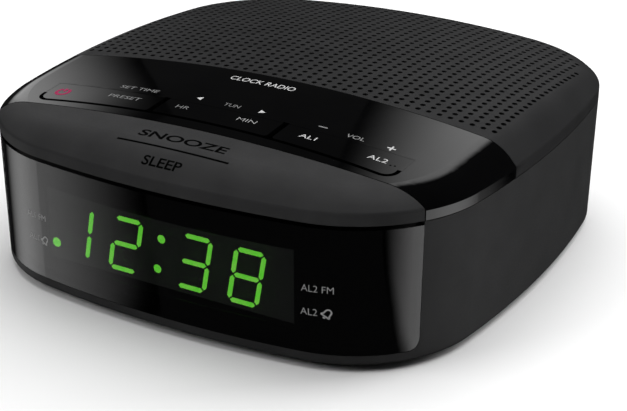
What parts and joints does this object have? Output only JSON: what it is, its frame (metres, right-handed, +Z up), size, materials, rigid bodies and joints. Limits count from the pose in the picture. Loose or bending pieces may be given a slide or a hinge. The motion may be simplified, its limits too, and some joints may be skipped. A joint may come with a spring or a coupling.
{
  "type": "clock radio",
  "caption": "Compact rounded-square clock radio: snooze bar, keys in a gloss band, round-hole grille crown, wrap-around display window.",
  "frame": {"origin": "on the table under the middle of the case", "axes": "+X right as seen from the front, the front faces -Y, +Z up"},
  "size_m": [0.132, 0.135, 0.0469],
  "materials": {
    "matte_black": "satin, fine texture",
    "grille_black": "satin, fine texture",
    "gloss_black": "gloss",
    "smoked_window": "gloss, see-through",
    "mask_black": "matte",
    "display_grey": "matte",
    "green_light": "lit",
    "dark_light": "unlit",
    "board_green": "satin",
    "inner_black": "matte",
    "rubber": "matte",
    "steel": "satin",
    "zinc_steel": "bright",
    "ferrite": "matte",
    "cone_paper": "matte",
    "copper": "satin",
    "winding_tape": "gloss tape",
    "chip_black": "matte",
    "wire_skin": "satin",
    "label_silver": "satin",
    "nickel": "bright",
    "spider_cloth": "woven"
  },
  "bodies": {
    "cabinet": {"base_cover": "matte_black", "side_shell": "matte_black", "top_frame": "inner_black", "grille_cover": "grille_black", "control_panel": "gloss_black", "display_window": "smoked_window", "display_mask": "mask_black", "led_module": "display_grey", "lit_segments": "green_light", "dark_segments": "dark_light", "display_board": "board_green", "main_board": "board_green", "key_board": "board_green", "speaker_frame": "zinc_steel", "speaker_magnet": "ferrite", "speaker_yoke": "zinc_steel", "speaker_plate": "zinc_steel", "cone_surround": "rubber", "spider": "spider_cloth", "speaker_screws": "zinc_steel", "transformer_core": "steel", "transformer_coil": "winding_tape", "battery_holder": "inner_black", "battery_contact": "nickel", "cord_gland": "rubber", "aerial_grommet": "rubber", "rubber_feet": "rubber", "case_screws": "zinc_steel", "board_screws": "zinc_steel", "clock_chip": "chip_black", "tuner_chip": "chip_black", "filter_capacitors": "chip_black", "display_ribbon": "label_silver", "speaker_leads": "wire_skin", "transformer_leads": "wire_skin", "rating_label": "label_silver", "power_switch": "chip_black", "preset_switch": "chip_black", "hour_switch": "chip_black", "minute_switch": "chip_black", "alarm_1_switch": "chip_black", "alarm_2_switch": "chip_black", "snooze_switch": "chip_black"},
    "snooze_bar": {"snooze_bar": "matte_black"},
    "left_key": {"left_key": "gloss_black"},
    "middle_key": {"middle_key": "gloss_black"},
    "right_key": {"right_key": "gloss_black"},
    "battery_tray": {"battery_tray": "matte_black", "coin_cell": "nickel"},
    "speaker_cone": {"speaker_cone": "cone_paper", "dust_cap": "cone_paper", "voice_coil": "copper"},
    "power_stem": {"power_stem": "inner_black"},
    "preset_stem": {"preset_stem": "inner_black"},
    "hour_stem": {"hour_stem": "inner_black"},
    "minute_stem": {"minute_stem": "inner_black"},
    "alarm_1_stem": {"alarm_1_stem": "inner_black"},
    "alarm_2_stem": {"alarm_2_stem": "inner_black"},
    "snooze_stem": {"snooze_stem": "inner_black"}
  },
  "joints": [
    {"name": "snooze_press", "type": "hinge", "parent": "cabinet", "child": "snooze_bar", "pos_m": [0, -0.041, 0.0366], "axis": [1, 0, 0], "range_deg": [0, 1.2], "stiffness_Nm_per_rad": 0.6, "springref_deg": -1.15},
    {"name": "left_key_press", "type": "hinge", "parent": "cabinet", "child": "left_key", "pos_m": [-0.0325, -0.0382, 0.0433], "axis": [1, 0, 0], "range_deg": [0, 3.4], "stiffness_Nm_per_rad": 0.05, "springref_deg": -1.15},
    {"name": "middle_key_press", "type": "hinge", "parent": "cabinet", "child": "middle_key", "pos_m": [0, -0.0382, 0.0443], "axis": [1, 0, 0], "range_deg": [0, 3.4], "stiffness_Nm_per_rad": 0.05, "springref_deg": -1.15},
    {"name": "right_key_press", "type": "hinge", "parent": "cabinet", "child": "right_key", "pos_m": [0.0325, -0.0382, 0.0433], "axis": [1, 0, 0], "range_deg": [0, 3.4], "stiffness_Nm_per_rad": 0.05, "springref_deg": -1.15},
    {"name": "power_stem_slide", "type": "slide", "parent": "cabinet", "child": "power_stem", "axis": [0, 0, -1], "range_m": [0, 0.0003]},
    {"name": "preset_stem_slide", "type": "slide", "parent": "cabinet", "child": "preset_stem", "axis": [0, 0, -1], "range_m": [0, 0.0003]},
    {"name": "hour_stem_slide", "type": "slide", "parent": "cabinet", "child": "hour_stem", "axis": [0, 0, -1], "range_m": [0, 0.0003]},
    {"name": "minute_stem_slide", "type": "slide", "parent": "cabinet", "child": "minute_stem", "axis": [0, 0, -1], "range_m": [0, 0.0003]},
    {"name": "alarm_1_stem_slide", "type": "slide", "parent": "cabinet", "child": "alarm_1_stem", "axis": [0, 0, -1], "range_m": [0, 0.0003]},
    {"name": "alarm_2_stem_slide", "type": "slide", "parent": "cabinet", "child": "alarm_2_stem", "axis": [0, 0, -1], "range_m": [0, 0.0003]},
    {"name": "snooze_stem_slide", "type": "slide", "parent": "cabinet", "child": "snooze_stem", "axis": [0, 0, -1], "range_m": [0, 0.0003]},
    {"name": "tray_slide", "type": "slide", "parent": "cabinet", "child": "battery_tray", "axis": [0, 1, 0], "range_m": [0, 0.022]},
    {"name": "cone_travel", "type": "slide", "parent": "cabinet", "child": "speaker_cone", "axis": [0, 0, 1], "range_m": [-0.0008, 0.0008], "stiffness_N_per_m": 1000, "deforming": ["cone_surround", "spider"]}
  ],
  "couplings": [
    {"joint": "power_stem_slide", "follows": "left_key_press", "m_per_rad": 0.00472},
    {"joint": "preset_stem_slide", "follows": "left_key_press", "m_per_rad": 0.00472},
    {"joint": "hour_stem_slide", "follows": "middle_key_press", "m_per_rad": 0.00472},
    {"joint": "minute_stem_slide", "follows": "middle_key_press", "m_per_rad": 0.00472},
    {"joint": "alarm_1_stem_slide", "follows": "right_key_press", "m_per_rad": 0.00472},
    {"joint": "alarm_2_stem_slide", "follows": "right_key_press", "m_per_rad": 0.00472},
    {"joint": "snooze_stem_slide", "follows": "snooze_press", "m_per_rad": 0.01337}
  ]
}
